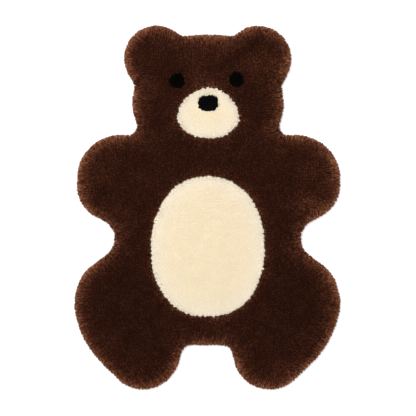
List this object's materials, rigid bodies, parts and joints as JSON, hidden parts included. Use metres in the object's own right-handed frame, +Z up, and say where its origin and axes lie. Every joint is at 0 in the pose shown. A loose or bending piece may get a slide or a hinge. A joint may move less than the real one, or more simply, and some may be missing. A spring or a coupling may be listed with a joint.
{
  "type": "bear shaped kids rug",
  "caption": "Flat woolly floor rug in the outline of a bear, brown, with a cream belly and muzzle and a black nose and eyes let in edge to edge.",
  "frame": {"origin": "on the floor, under the middle of the rug's bounding box", "axes": "+Y from the feet to the head, +X to the right as the rug is seen from above with its head away, +Z up through the pile"},
  "size_m": [0.8038, 1.0996, 0.0316],
  "materials": {
    "brown_wool": "dense brown shearling wool, soft and matt, lighter at the rim",
    "cream_wool": "dense cream shearling wool, soft and matt",
    "black_wool": "short black shearling wool, soft and matt"
  },
  "bodies": {
    "root": {"body": "brown_wool", "belly": "cream_wool", "muzzle": "cream_wool", "nose": "black_wool", "eye_left": "black_wool", "eye_right": "black_wool"}
  },
  "joints": []
}
